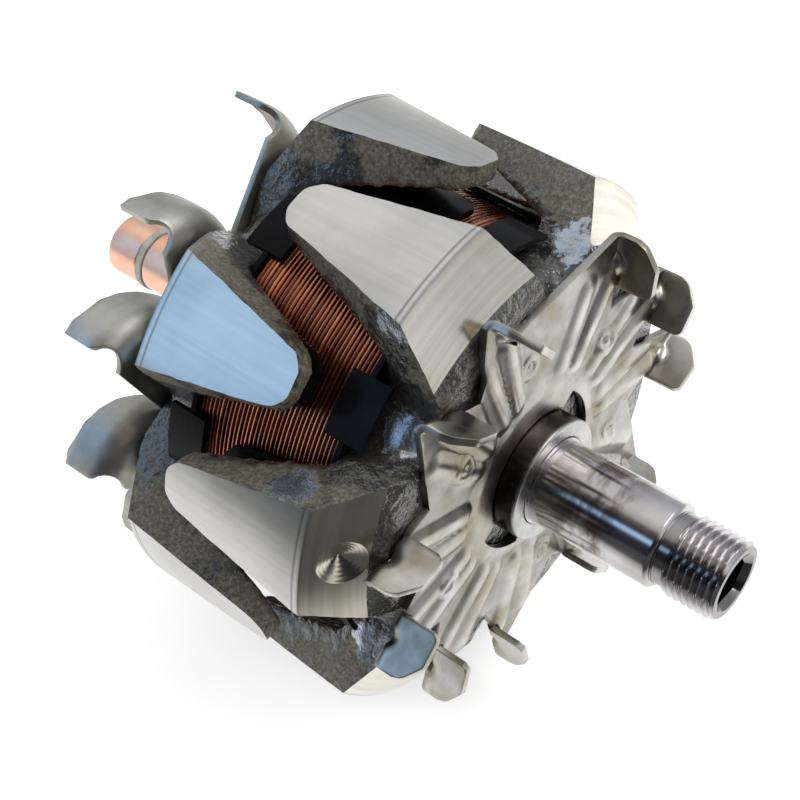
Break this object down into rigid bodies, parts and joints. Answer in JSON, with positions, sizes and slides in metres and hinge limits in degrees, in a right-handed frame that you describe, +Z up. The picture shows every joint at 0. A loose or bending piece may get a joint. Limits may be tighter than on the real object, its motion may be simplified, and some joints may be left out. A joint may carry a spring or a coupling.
{
  "type": "alternator rotor",
  "caption": "Claw-pole rotor of a vehicle alternator: shaft with threaded end, two interleaved pole halves over a field coil, sheet-metal fan on each side and slip rings at the rear.",
  "frame": {"origin": "on the shaft axis at the start of the front bearing seat, where the bearing's inner ring meets the front collar", "axes": "+X along the shaft towards the threaded drive end, +Z up as the rotor lies in the picture, and the slip rings are at -X"},
  "size_m": [0.1543, 0.109, 0.109],
  "materials": {
    "shaft_steel": "ground and polished steel with light stains",
    "pole_steel": "forged low-carbon steel, turned on the outside, thin varnish on the flanks",
    "bobbin_plastic": "black moulded plastic under varnish",
    "winding_copper": "enamelled copper wire",
    "fan_steel": "pressed sheet steel, dull",
    "collar_steel": "turned steel",
    "ring_copper": "turned copper",
    "moulding": "moulded insulating plastic",
    "terminal_brass": "drawn strip",
    "lead_copper": "drawn wire",
    "sleeve": "woven insulating sleeve"
  },
  "bodies": {
    "root": {"shaft": "shaft_steel", "pole_core": "pole_steel", "front_claw_pole": "pole_steel", "rear_claw_pole": "pole_steel", "coil_bobbin": "bobbin_plastic", "field_winding": "winding_copper", "front_fan": "fan_steel", "rear_fan": "fan_steel", "front_collar": "collar_steel", "rear_collar": "collar_steel", "slip_ring_outer": "ring_copper", "slip_ring_inner": "ring_copper", "slip_ring_body": "moulding", "terminal_a": "terminal_brass", "terminal_b": "terminal_brass", "lead_wire_a": "lead_copper", "lead_wire_b": "lead_copper", "lead_sleeve_a": "sleeve", "lead_sleeve_b": "sleeve"}
  },
  "joints": []
}
